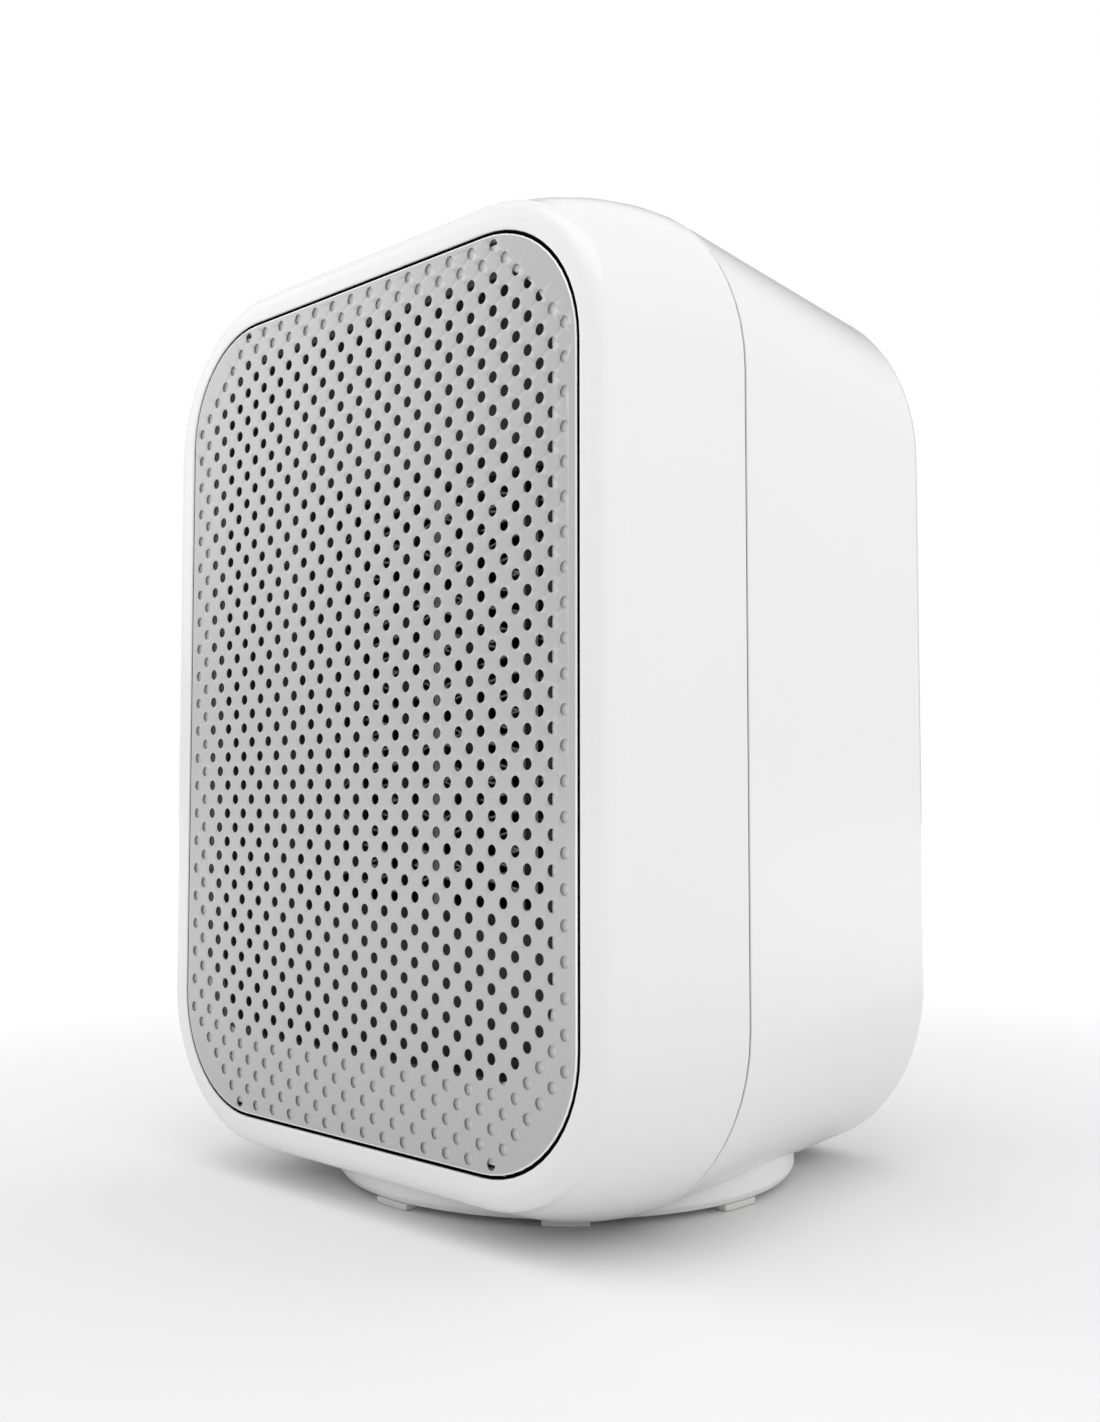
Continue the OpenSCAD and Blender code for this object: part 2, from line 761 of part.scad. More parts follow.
module heater_leads() {
    top = air_z + terminal_top + 2.1;
    color("#b33a2e") for (i = [0, 1]) {
        x0 = socket_x[i];
        x1 = -tube_x[i];
        y_run = -5 + 4 * i;
        run_top = top + 3 - 3 * i;
        wire([[x0, lead_y, board_top + 4.3], [x0, lead_y, board_top + 18 + 3 * i],
            [-40.5, y_run, board_top + 22 + 3 * i],
            [-40.5, y_run, run_top], [x1, terminal_y, run_top],
            [x1, terminal_y, air_z + terminal_top + 0.1]]);
    }
}

module motor_leads() {
    lead_r = 0.8;
    y_can = motor_y + motor_l;
    y_run = y_can + 3;
    color("#31508f") for (s = [-1, 1])
        wire([[s * 9, 29, board_top + 0.05], [s * 9, 29, board_top + 4], [s * 9, y_run, board_top + 9],
            [s * 9, y_run, air_z - 4], [s * 9, y_can + 0.1, air_z - 4]], lead_r);
}

// ---- Base ----

module base_disc() {
    top_t = 1.4;
    color("#f2f2f2") difference() {
        union() {
            rod_z(0, 0, base_r, pad_h, base_top);
            rod_z(0, 0, post_r, base_top - 1, post_top);
        }
        difference() {
            rod_z(0, 0, cover_r + 0.1, pad_h - 1, base_top - top_t);
            rod_z(0, 0, post_r, pad_h + cover_t, base_top);
            for (a = shares(4)) rotate([0, 0, a + 45])
                rod_z(cover_screw_r, 0, 3, pad_h + cover_t, base_top);
        }
        rod_z(0, 0, chamber_r, 0, post_top + 1);
        for (a = shares(3)) rotate([0, 0, a])
            rod_z(retainer_screw_r, 0, 1.05, base_top - 2.5, post_top + 1);
        for (a = shares(4)) rotate([0, 0, a + 45]) rod_z(cover_screw_r, 0, 1.05, 0, base_top - 1);
    }
}

module base_cover() {
    color("#ececec") difference() {
        rod_z(0, 0, cover_r, pad_h, pad_h + cover_t);
        rod_z(0, 0, plunger_r + fit, 0, base_top);
        for (a = shares(4)) rotate([0, 0, a + 45]) {
            rod_z(cover_screw_r, 0, 1.2, 0, base_top);
            rod_z(cover_screw_r, 0, 2.1, 0, pad_h + 0.5);
        }
    }
}

module base_pads() {
    outer = base_r - 0.4;
    inner = base_r - 3.8;
    color("#dcdcda") for (a = shares(pads)) rotate([0, 0, a]) intersection() {
        ring_z(inner, outer, 0, pad_h);
        translate([inner - 1, -pad_l / 2, -1]) cube([outer - inner + 2, pad_l, pad_h + 2]);
    }
}

module cover_screws() {
    color(steel) for (a = shares(4)) rotate([0, 0, a + 45])
        translate([cover_screw_r, 0, pad_h + 0.5]) mirror([0, 0, 1]) screw(1, 3, 2, 0.6);
}

module swivel_washer() {
    color("#f7f5ec") ring_z(11, 16, base_top, roof_z - fit);
}

module friction_washer() {
    color("#8f8f92") ring_z(post_r + 0.1, 14.5, floor_top + fit, post_top);
}

module swivel_retainer() {
    color(steel) difference() {
        ring_z(plunger_r + fit, retainer_r, post_top, post_top + retainer_t);
        for (a = shares(3)) rotate([0, 0, a])
            rod_z(retainer_screw_r, 0, 1.1, post_top - 1, post_top + 3);
    }
}

module swivel_screws() {
    color(steel) for (a = shares(3)) rotate([0, 0, a])
        translate([retainer_screw_r, 0, post_top + retainer_t]) screw(1, 5.5, 2, 1.2);
}

front_shell();
rear_shell();
grille_plate();
duct();
duct_screws();
heater_frame();
heater_fins();
heater_tubes();
divider_plate();
ptc_stones();
heater_terminals();
thermostat();
thermal_fuse();
fan_shroud();
shroud_screws();
motor_can();
motor_bush();
motor_screws();
motor_shaft();
fan_impeller();
control_board();
board_screws();
relay();
capacitor();
choke();
terminal_block();
power_switch();
power_button();
led_lens();
inlet_gland();
tip_switch();
tip_plunger();
tip_spring();
heater_leads();
motor_leads();
shell_screws();
base_disc();
base_cover();
base_pads();
cover_screws();
swivel_washer();
friction_washer();
swivel_retainer();
swivel_screws();
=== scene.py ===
"""Palm-sized desktop fan heater: the looks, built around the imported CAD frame. Metres, +Z up."""

import math

import bmesh
import bpy
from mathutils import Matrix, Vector
from mathutils.geometry import delaunay_2d_cdt

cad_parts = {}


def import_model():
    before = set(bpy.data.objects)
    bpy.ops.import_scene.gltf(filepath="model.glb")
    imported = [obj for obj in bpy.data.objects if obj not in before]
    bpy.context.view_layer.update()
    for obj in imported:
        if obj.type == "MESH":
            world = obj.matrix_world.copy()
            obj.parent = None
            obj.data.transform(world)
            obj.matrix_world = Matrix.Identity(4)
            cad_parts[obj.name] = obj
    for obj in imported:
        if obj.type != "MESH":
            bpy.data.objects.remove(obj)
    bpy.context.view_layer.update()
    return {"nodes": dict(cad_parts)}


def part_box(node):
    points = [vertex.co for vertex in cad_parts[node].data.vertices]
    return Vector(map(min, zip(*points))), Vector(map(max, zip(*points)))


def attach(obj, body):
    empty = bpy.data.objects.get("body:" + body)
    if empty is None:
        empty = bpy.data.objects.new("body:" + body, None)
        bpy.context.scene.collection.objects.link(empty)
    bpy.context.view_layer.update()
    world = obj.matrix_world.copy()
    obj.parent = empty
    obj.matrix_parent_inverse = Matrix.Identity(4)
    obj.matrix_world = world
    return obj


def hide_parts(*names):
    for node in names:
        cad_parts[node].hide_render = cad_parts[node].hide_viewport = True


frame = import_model()
MM = 0.001

# ---- Sizes shared with the CAD model ----

FRONT_LO, FRONT_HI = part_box("front_shell")
REAR_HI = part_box("rear_shell")[1]
PLATE_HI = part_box("grille_plate")[1]
DISC_LO, DISC_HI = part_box("base_disc")
PAD_LO, PAD_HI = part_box("base_pads")
BUTTON_LO, BUTTON_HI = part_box("power_button")
LED_LO, LED_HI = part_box("led_lens")
GLAND_LO, GLAND_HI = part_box("inlet_gland")
IMPELLER_LO, IMPELLER_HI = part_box("fan_impeller")

SEAM_HALF = 0.15 * MM
HALF_W = FRONT_HI.x
HALF_H = (FRONT_HI.z - FRONT_LO.z) / 2
MID_Z = (FRONT_HI.z + FRONT_LO.z) / 2
Y_FRONT = FRONT_LO.y
Y_SEAM = FRONT_HI.y + SEAM_HALF
Y_BACK = REAR_HI.y
AIR_Z = (IMPELLER_LO.z + IMPELLER_HI.z) / 2

CORNER_R = 26.6 * MM
WALL = 2.2 * MM
FRONT_TAPER = 3.7 * MM
BEZEL_R = 2.8 * MM
REAR_TAPER = 12.4 * MM
REAR_CORNER_X = 23.4 * MM
REAR_CORNER_Z = 27.0 * MM
BACK_R = 5 * MM
BACK_EDGE_Y = Y_BACK - BACK_R
EDGE = 0.25 * MM

GRILLE_HALF_W = 42.75 * MM
GRILLE_HALF_H = 59.15 * MM
GRILLE_R = 17 * MM
GRILLE_GAP = 0.45 * MM
PLATE_T = 0.5 * MM
LEDGE_Y = Y_FRONT + 3 * MM
SEAT_Y = Y_FRONT + PLATE_T + 0.03 * MM
GROOVE_W = 1 * MM
GROOVE_Y = SEAT_Y + 1.5 * MM
OUTLET_HALF_W = 37.6 * MM
OUTLET_HALF_H = 51 * MM
OUTLET_R = 12 * MM
OUTLET_RISE = 3.3 * MM

TAB_X = 27.56 * MM
TAB_W = 4 * MM
TAB_T = 0.6 * MM
TAB_SLOT_W = 4.6 * MM
TAB_SLOT_LOW = 57.4 * MM

PITCH = 2.12 * MM
HOLE_R = 0.75 * MM
HOLE_FLARE = 0.32 * MM
HOLE_ROLL = 0.05 * MM
HOLE_STEPS = 16
HOLE_COLS = 39
HOLE_ROWS = 55
CORNER_ROWS = 6
RIM_ROUND = 0.2 * MM
RIM_FLAT = 0.3 * MM  # the plate's flat ends this far inside its outline

BACK_INSIDE = Y_BACK - WALL
MOUTH = 0.35 * MM  # chamfer round the openings in the back
SLOT_W = 2.4 * MM
SLOT_PITCH = 4.4 * MM
SLOTS_EACH_SIDE = 6
INTAKE_R = 31 * MM
POST_TOP_Z = MID_Z + 59.4 * MM
POST_LOW_Z = 15 * MM
POSTS = [(-18 * MM, POST_TOP_Z), (18 * MM, POST_TOP_Z), (-26 * MM, POST_LOW_Z), (26 * MM, POST_LOW_Z)]
POST_R = 4 * MM
SCREW_BORE_R = 1.7 * MM
SCREW_HEAD_R = 3.05 * MM
SCREW_SEAT_Y = Y_SEAM + 4 * MM
LENS_R = 1.5 * MM
LENS_COLLAR_R = 2.2 * MM
GLAND_BORE_R = 3.3 * MM
GLAND_R = 4.2 * MM
GLAND_RIM_R = 5.4 * MM
GLAND_RIM_Y = Y_BACK - 0.9 * MM

POCKET_R = DISC_HI.x + 0.6 * MM
ROOF_Z = 6.3 * MM
ROOF_T = 2 * MM
SWIVEL_POST_R = 9.9 * MM
SWIVEL_HOLE_R = 9.95 * MM
CHAMBER_R = 4.2 * MM
DECK_Z = 5.6 * MM
DECK_T = 1.4 * MM
COVER_R = 30 * MM
COVER_T = 1.2 * MM
COVER_SCREW_R = 22 * MM
PLUNGER_HOLE_R = 1.95 * MM
PADS = 8
PAD_L = 6.4 * MM
PAD_W = 3.4 * MM

ARC_STEPS = 14
ROUND_MID = 0.3  # where a rounded edge's middle point lies, as a share of its radius
BURIED = 0.5 * MM  # how deep a joined-on solid starts inside a wall

# ---- Mesh helpers ----


def new_object(name, mesh, body):
    """A piece made from mesh that moves with a CAD body."""
    obj = bpy.data.objects.new(name, mesh)
    bpy.context.scene.collection.objects.link(obj)
    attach(obj, body)
    return obj


def mesh_of(name, verts, faces):
    """A closed mesh whose faces point outwards."""
    mesh = bpy.data.meshes.new(name)
    mesh.from_pydata([tuple(v) for v in verts], [], faces)
    bm = bmesh.new()
    bm.from_mesh(mesh)
    bmesh.ops.remove_doubles(bm, verts=bm.verts, dist=1e-7)
    bmesh.ops.recalc_face_normals(bm, faces=bm.faces)
    bm.to_mesh(mesh)
    bm.free()
    return mesh


def shade(mesh, angle=35):
    """Smooth shading, with sharp edges where faces meet at more than angle degrees."""
    limit = math.radians(angle)
    bm = bmesh.new()
    bm.from_mesh(mesh)
    for face in bm.faces:
        face.smooth = True
    for edge in bm.edges:
        edge.smooth = len(edge.link_faces) == 2 and edge.calc_face_angle(0) < limit
    bm.to_mesh(mesh)
    bm.free()


def weighted(obj):
    """Large flat faces keep their own normals at rounded edges."""
    mod = obj.modifiers.new("weighted", "WEIGHTED_NORMAL")
    mod.keep_sharp = True
    mod.weight = 80


def finish(obj, key, angle=35):
    """Shades a piece with weighted normals and gives it its material."""
    shade(obj.data, angle)
    weighted(obj)
    paint(obj, key)


def rounded_ring(half_w, half_h, r_x, r_z, y, rise=0.0):
    """Points of a rounded rectangle in the plane y, about the housing's middle raised by rise."""
    points = []
    for start, sx, sz in ((0, 1, 1), (90, -1, 1), (180, -1, -1), (270, 1, -1)):
        cx, cz = sx * (half_w - r_x), sz * (half_h - r_z)
        for i in range(ARC_STEPS + 1):
            a = math.radians(start + 90 * i / ARC_STEPS)
            z = MID_Z + rise + cz + r_z * math.sin(a)
            points.append(Vector((cx + r_x * math.cos(a), y, z)))
    return points


def loft(rings, closed=False):
    """Vertices and faces through rings of equal length; the ends are capped unless closed."""
    n = len(rings[0])
    verts = [p for ring in rings for p in ring]
    faces = []
    last = len(rings) if closed else len(rings) - 1
    for i in range(last):
        a, b = i * n, (i + 1) % len(rings) * n
        for k in range(n):
            m = (k + 1) % n
            faces.append((a + k, a + m, b + m, b + k))
    if not closed:
        faces.append(tuple(range(n)))
        faces.append(tuple(range((len(rings) - 1) * n, len(rings) * n)))
    return verts, faces


def full_turn(n):
    """The angles of n equal steps round a turn."""
    return [2 * math.pi * i / n for i in range(n)]


def lathe(profile, steps=96, axis="Z", at=(0, 0, 0)):
    """A closed profile of (radius, height) points turned about an axis through at."""
    rings = []
    for a in full_turn(steps):
        ring = []
        for r, h in profile:
            u, v = r * math.cos(a), r * math.sin(a)
            point = (u, v, h) if axis == "Z" else (u, h, v)
            ring.append(Vector(point) + Vector(at))
        rings.append(ring)
    return loft(rings, closed=True)


def round_corners(points, radii, steps=4):
    """The closed outline through points with each corner rounded by its radius."""
    out = []
    n = len(points)
    for i, p in enumerate(points):
        r = radii[i] if isinstance(radii, (list, tuple)) else radii
        p = Vector(p)
        before, after = Vector(points[i - 1]), Vector(points[(i + 1) % n])
        u, v = (before - p).normalized(), (after - p).normalized()
        angle = u.angle(v)
        if r <= 0 or angle > math.radians(175):
            out.append(tuple(p))
            continue
        cut = r / math.tan(angle / 2)
        centre = p + (u + v).normalized() * (r / math.sin(angle / 2))
        start, end = p + u * cut - centre, p + v * cut - centre
        for k in range(steps + 1):
            mixed = start.lerp(end, k / steps).normalized() * r
            out.append(tuple(centre + mixed))
    return out


def boolean(obj, cutter_data, operation):
    """Applies one exact boolean with a throw-away mesh to obj's mesh."""
    cutter = bpy.data.objects.new("cutter", mesh_of("cutter", *cutter_data))
    bpy.context.scene.collection.objects.link(cutter)
    mod = obj.modifiers.new("bool", "BOOLEAN")
    mod.operation = operation
    mod.solver = "EXACT"
    mod.object = cutter
    graph = bpy.context.evaluated_depsgraph_get()
    made = bpy.data.meshes.new_from_object(obj.evaluated_get(graph))
    obj.modifiers.remove(mod)
    old = obj.data
    obj.data = made
    bpy.data.meshes.remove(old)
    bpy.data.objects.remove(cutter)


def join(parts):
    """Several (vertices, faces) sets as one."""
    verts, faces = [], []
    for v, f in parts:
        base = len(verts)
        verts.extend(v)
        faces.extend(tuple(i + base for i in face) for face in f)
    return verts, faces


def upright(r, z0, z1, steps=128):
    """A plain cutter along Z, about the swivel axis."""
    low = [Vector((r * math.cos(a), r * math.sin(a), z0)) for a in full_turn(steps)]
    high = [Vector((p.x, p.y, z1)) for p in low]
    return loft([low, high])


def stepped_y(stations, x, z, steps=64):
    """A solid turned about an axis along Y, through (radius, y) stations."""
    rings = []
    for r, y in stations:
        rings.append([Vector((x + r * math.cos(a), y, z + r * math.sin(a))) for a in full_turn(steps)])
    return loft(rings)


def middle_z(low, high):
    return (low.z + high.z) / 2


# ---- Materials ----


COAT_ROUGHNESS = 0.12
MOTTLE_SIZE = 1 / 60  # metres


def add(tree, kind, **inputs):
    """A new node with the given input values."""
    node = tree.nodes.new(kind)
    for key, value in inputs.items():
        node.inputs[key.replace("_", " ")].default_value = value
    return node


def material(name, color, roughness, metallic=0.0, grain=0.3 * MM, bump=0.02, depth=0.05,
             mottle=0.02, spread=0.05, stretch=(1, 1, 1), coat=0.0, specular=0.5):
    """A procedural material: a faint mottle in the colour, grain in the roughness, a fine bump.

    grain is the size of one speck in metres, depth is the bump's height in millimetres, mottle and
    spread are how far the colour and the roughness vary, and stretch draws the grain out along an axis.
    """
    mat = bpy.data.materials.new(name)
    mat.use_nodes = True
    tree = mat.node_tree
    shader = tree.nodes["Principled BSDF"]
    shader.inputs["Metallic"].default_value = metallic
    shader.inputs["Specular IOR Level"].default_value = specular
    shader.inputs["Coat Weight"].default_value = coat
    shader.inputs["Coat Roughness"].default_value = COAT_ROUGHNESS
    place = tree.nodes.new("ShaderNodeTexCoord")
    mapping = tree.nodes.new("ShaderNodeMapping")
    mapping.inputs["Scale"].default_value = stretch
    tree.links.new(place.outputs["Object"], mapping.inputs["Vector"])
    fine = add(tree, "ShaderNodeTexNoise", Scale=1 / grain, Detail=3.0)
    tree.links.new(mapping.outputs["Vector"], fine.inputs["Vector"])
    broad = add(tree, "ShaderNodeTexNoise", Scale=1 / MOTTLE_SIZE, Detail=2.0)
    tree.links.new(place.outputs["Object"], broad.inputs["Vector"])
    tint = tree.nodes.new("ShaderNodeMix")
    tint.data_type = "RGBA"
    low = [c * (1 - mottle) for c in color]
    high = [min(1.0, c * (1 + mottle)) for c in color]
    tint.inputs["A"].default_value = (*low, 1)
    tint.inputs["B"].default_value = (*high, 1)
    tree.links.new(broad.outputs["Fac"], tint.inputs["Factor"])
    tree.links.new(tint.outputs["Result"], shader.inputs["Base Color"])
    rough = tree.nodes.new("ShaderNodeMapRange")
    rough.inputs["To Min"].default_value = max(0.0, roughness - spread)
    rough.inputs["To Max"].default_value = min(1.0, roughness + spread)
    tree.links.new(fine.outputs["Fac"], rough.inputs["Value"])
    tree.links.new(rough.outputs["Result"], shader.inputs["Roughness"])
    relief = add(tree, "ShaderNodeBump", Strength=bump, Distance=depth * MM)
    tree.links.new(fine.outputs["Fac"], relief.inputs["Height"])
    tree.links.new(relief.outputs["Normal"], shader.inputs["Normal"])
    return mat


MATERIALS = {
    "shell": material("shell_white_plastic", (0.775, 0.775, 0.775), 0.24, grain=0.5 * MM, bump=0.012,
                      mottle=0.006, coat=0.15),
    "base": material("base_white_plastic", (0.88, 0.88, 0.88), 0.36, grain=0.5 * MM, bump=0.02,
                     mottle=0.01),
    "pad": material("pad_soft_plastic", (0.72, 0.72, 0.71), 0.62, grain=0.2 * MM, bump=0.25, mottle=0.03),
    # painted shade: dark grey for the faces inside the seam between the shells, standing in for the shadow
    # there
    "joint": material("joint_painted_shade", (0.14, 0.14, 0.14), 0.7, grain=0.3 * MM, mottle=0.05, specular=0.2),
    # painted shadow: near black for the groove's walls round the grille, standing in for the shadow in the
    # gap
    "groove": material("groove_painted_shadow", (0.008, 0.008, 0.008), 0.8, grain=0.3 * MM, mottle=0.1,
                       specular=0.1),
    "grille": material("grille_satin_metal", (0.505, 0.505, 0.505), 0.4, metallic=0.8, grain=0.09 * MM,
                       bump=0.08, depth=0.03, mottle=0.012, spread=0.05),
    # painted highlight: the rolled rim's light colour stands in for the light it catches; its lower
    # roughness is the bare edge's own gloss
    "rim_painted_highlight": material("rolled_edge_painted_highlight", (0.9, 0.9, 0.9), 0.25, metallic=0.6, grain=0.1 * MM,
                            mottle=0.01),
    "dark": material("dark_moulding", (0.13, 0.13, 0.135), 0.55, grain=0.3 * MM, bump=0.2, mottle=0.08),
    "shroud": material("grey_moulding", (0.09, 0.09, 0.095), 0.5, grain=0.3 * MM, bump=0.2, mottle=0.08),
    "fin": material("thin_aluminium", (0.55, 0.56, 0.57), 0.38, metallic=1.0, grain=0.15 * MM, bump=0.1,
                    mottle=0.05, stretch=(1, 0.15, 1)),
    "tube": material("drawn_aluminium", (0.5, 0.51, 0.52), 0.4, metallic=1.0, grain=0.15 * MM, bump=0.1,
                     mottle=0.04, stretch=(1, 1, 0.1)),
    "ceramic": material("raw_ceramic", (0.3, 0.28, 0.26), 0.8, grain=0.25 * MM, bump=0.35, mottle=0.08),
    "enamel": material("pale_ceramic", (0.72, 0.69, 0.6), 0.45, grain=0.3 * MM, bump=0.12, mottle=0.04),
    "brass": material("stamped_brass", (0.62, 0.47, 0.2), 0.32, metallic=1.0, grain=0.2 * MM, bump=0.1,
                      mottle=0.05),
    "bronze": material("sintered_bronze", (0.5, 0.33, 0.16), 0.5, metallic=1.0, grain=0.12 * MM,
                       bump=0.3, mottle=0.08),
    "steel": material("plated_steel", (0.58, 0.59, 0.61), 0.3, metallic=1.0, grain=0.18 * MM,
                      bump=0.08, mottle=0.04),
    "can": material("drawn_steel_can", (0.5, 0.51, 0.53), 0.36, metallic=1.0, grain=0.2 * MM, bump=0.1,
                    mottle=0.05, stretch=(1, 0.08, 1)),
    "board": material("coated_board", (0.03, 0.17, 0.07), 0.35, grain=0.4 * MM, bump=0.12, mottle=0.15,
                      coat=0.2),
    "blue": material("blue_case", (0.05, 0.13, 0.32), 0.42, grain=0.3 * MM, bump=0.12, mottle=0.05),
    "yellow": material("yellow_case", (0.62, 0.45, 0.08), 0.45, grain=0.3 * MM, bump=0.12, mottle=0.05),
    "winding": material("copper_winding", (0.36, 0.15, 0.06), 0.35, metallic=0.6, grain=0.3 * MM, bump=0.4,
                        depth=0.2, mottle=0.1, stretch=(0.2, 0.2, 3)),
    "green": material("green_case", (0.07, 0.34, 0.15), 0.45, grain=0.3 * MM, bump=0.12, mottle=0.05),
    "black": material("black_case", (0.02, 0.02, 0.022), 0.45, grain=0.3 * MM, bump=0.15, mottle=0.1),
    "button": material("button_plastic", (0.8, 0.8, 0.8), 0.33, grain=0.3 * MM, bump=0.08, mottle=0.01,
                       coat=0.1),
    "lens": material("milky_lens", (0.85, 0.87, 0.84), 0.18, grain=0.5 * MM, bump=0.03, mottle=0.02,
                     coat=0.4),
    "rubber": material("moulded_rubber", (0.03, 0.03, 0.032), 0.68, grain=0.2 * MM, bump=0.3, mottle=0.12),
    "red_wire": material("red_silicone", (0.5, 0.05, 0.03), 0.5, grain=0.3 * MM, bump=0.1, mottle=0.06),
    "blue_wire": material("blue_insulation", (0.05, 0.15, 0.42), 0.42, grain=0.3 * MM, bump=0.08,
                          mottle=0.06),
    "slip": material("slip_plastic", (0.85, 0.83, 0.76), 0.4, grain=0.3 * MM, bump=0.08, mottle=0.03),
    "felt": material("grey_felt", (0.2, 0.2, 0.21), 0.95, grain=0.12 * MM, bump=0.8, depth=0.1, mottle=0.2),
    "cream": material("cream_plastic", (0.66, 0.62, 0.5), 0.42, grain=0.3 * MM, bump=0.1, mottle=0.04),
}

CARRIED = {
    "duct": "dark", "duct_screws": "steel", "heater_frame": "dark", "heater_fins": "fin",
    "heater_tubes": "tube", "divider_plate": "tube", "ptc_stones": "ceramic", "heater_terminals": "brass",
    "thermostat": "enamel", "thermal_fuse": "enamel", "fan_shroud": "shroud", "shroud_screws": "steel",
    "motor_can": "can", "motor_bush": "bronze", "motor_screws": "steel", "motor_shaft": "steel",
    "fan_impeller": "shroud", "control_board": "board", "board_screws": "steel", "relay": "blue",
    "capacitor": "yellow", "choke": "winding", "terminal_block": "green", "power_switch": "black",
    "tip_switch": "black", "tip_plunger": "cream", "tip_spring": "steel", "heater_leads": "red_wire",
    "motor_leads": "blue_wire", "shell_screws": "steel", "cover_screws": "steel", "swivel_washer": "slip",
    "friction_washer": "felt", "swivel_retainer": "steel", "swivel_screws": "steel",
}


def paint(obj, key):
    """Gives the whole object one of the materials."""
    obj.data.materials.clear()
    obj.data.materials.append(MATERIALS[key])


for node_name, key in CARRIED.items():
    paint(frame["nodes"][node_name], key)

# ---- Housing ----


def front_skin(s, inset=0.0):
    """Inset and depth of the front shell's skin, s going from 0 at the seam to 1 at the bezel's fillet."""
    d = FRONT_TAPER * s * s + inset
    y = Y_SEAM - s * (Y_SEAM - Y_FRONT - BEZEL_R)
    return d, y


def inset_ring(d, y):
    return rounded_ring(HALF_W - d, HALF_H - d, CORNER_R - d, CORNER_R - d, y)


def bezel_rings():
    """The skin from the seam's rounded edge to the bezel's flat rim."""
    y_edge = Y_SEAM - SEAM_HALF
    rings = [inset_ring(EDGE, y_edge), inset_ring(EDGE * ROUND_MID, y_edge - EDGE * ROUND_MID)]
    for s in [0.02] + [i / 15 for i in range(2, 16)]:
        rings.append(inset_ring(*front_skin(s)))
    for k in range(1, 10):
        a = math.radians(10 * k)
        d = FRONT_TAPER + BEZEL_R * (1 - math.cos(a))
        rings.append(inset_ring(d, Y_FRONT + BEZEL_R * (1 - math.sin(a))))
    return rings


def opening_ring(grow, y):
    r = GRILLE_R + grow
    return rounded_ring(GRILLE_HALF_W + grow, GRILLE_HALF_H + grow, r, r, y)


def outlet_ring(grow, y):
    r = OUTLET_R + grow
    return rounded_ring(OUTLET_HALF_W + grow, OUTLET_HALF_H + grow, r, r, y, OUTLET_RISE)


def cut_pocket(obj, filled):
    """Adds the roof and wall of the base's pocket to a shell and cuts the pocket out."""
    block = bpy.data.objects.new("block", mesh_of("block", *filled))
    bpy.context.scene.collection.objects.link(block)
    boolean(block, upright(POCKET_R + WALL, -5 * MM, ROOF_Z + ROOF_T), "INTERSECT")
    verts = [v.co.copy() for v in block.data.vertices]
    faces = [tuple(p.vertices) for p in block.data.polygons]
    bpy.data.objects.remove(block)
    boolean(obj, (verts, faces), "UNION")
    boolean(obj, upright(POCKET_R, -5 * MM, ROOF_Z), "DIFFERENCE")


def box_between(x0, x1, y0, y1, z0, z1):
    """A plain rectangular cutter."""
    rings = []
    for y in (y0, y1):
        rings.append([Vector((x0, y, z0)), Vector((x1, y, z0)), Vector((x1, y, z1)), Vector((x0, y, z1))])
    return loft(rings)


def tab_slots():
    """Four slots through the ledge for the plate's tabs."""
    slots = []
    for sx in (-1, 1):
        for sz in (-1, 1):
            ends = [MID_Z + sz * TAB_SLOT_LOW, MID_Z + sz * (GRILLE_HALF_H - 0.25 * MM)]
            x0 = sx * TAB_X - TAB_SLOT_W / 2
            slots.append(box_between(x0, x0 + TAB_SLOT_W, SEAT_Y - 0.2 * MM, LEDGE_Y + 0.3 * MM,
                                     min(ends), max(ends)))
    return join(slots)


def paint_groove_shadow(obj):
    """Painted shadow: the walls of the groove round the grille get a near-black colour standing in for the
    shadow in the narrow gap, so that the plate has a dark outline.
    """
    obj.data.materials.append(MATERIALS["groove"])
    slack = 0.05 * MM
    for face in obj.data.polygons:
        p = face.center
        flat = Vector((p.x, p.z - MID_Z))
        deep = Y_FRONT + EDGE * 0.9 < p.y < GROOVE_Y + 2 * slack
        if deep and in_opening(flat, slack) and not in_opening(flat, -GROOVE_W - slack):
            face.material_index = 1


def inside_rounded(p, half_w, half_h, r):
    """Whether a flat point lies inside a rounded rectangle about the origin."""
    dx, dz = abs(p.x) - (half_w - r), abs(p.y) - (half_h - r)
    if dx > 0 and dz > 0:
        return math.hypot(dx, dz) < r
    return dx < r and dz < r


def in_opening(p, grow):
    return inside_rounded(p, GRILLE_HALF_W + grow, GRILLE_HALF_H + grow, GRILLE_R + grow)


def front_cover():
    """The front shell: skin, bezel, groove, ledge with the outlet, and the inside back to the seam."""
    rim = [opening_ring(0.55 * MM, Y_FRONT), opening_ring(EDGE, Y_FRONT),
           opening_ring(EDGE * ROUND_MID, Y_FRONT + EDGE * ROUND_MID), opening_ring(0, Y_FRONT + EDGE)]
    seat = [opening_ring(0, GROOVE_Y), opening_ring(-GROOVE_W, GROOVE_Y), opening_ring(-GROOVE_W, SEAT_Y),
            outlet_ring(0.6 * MM, SEAT_Y), outlet_ring(EDGE, SEAT_Y),
            outlet_ring(EDGE * ROUND_MID, SEAT_Y + EDGE * ROUND_MID), outlet_ring(0, SEAT_Y + EDGE),
            outlet_ring(0, LEDGE_Y)]
    inner = [inset_ring(FRONT_TAPER + WALL, LEDGE_Y)]
    for i in range(11, -1, -1):
        d, y = front_skin(i / 12, WALL)
        inner.append(inset_ring(d, min(y, Y_SEAM - SEAM_HALF)))
    rings = bezel_rings() + rim + seat + inner
    obj = new_object("front_cover", mesh_of("front_cover", *loft(rings, closed=True)), "housing")
    cut_pocket(obj, loft([inset_ring(*front_skin(i / 10, BURIED)) for i in range(2, 11)]))
    boolean(obj, tab_slots(), "DIFFERENCE")
    finish(obj, "shell")
    paint_groove_shadow(obj)
    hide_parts("front_shell")


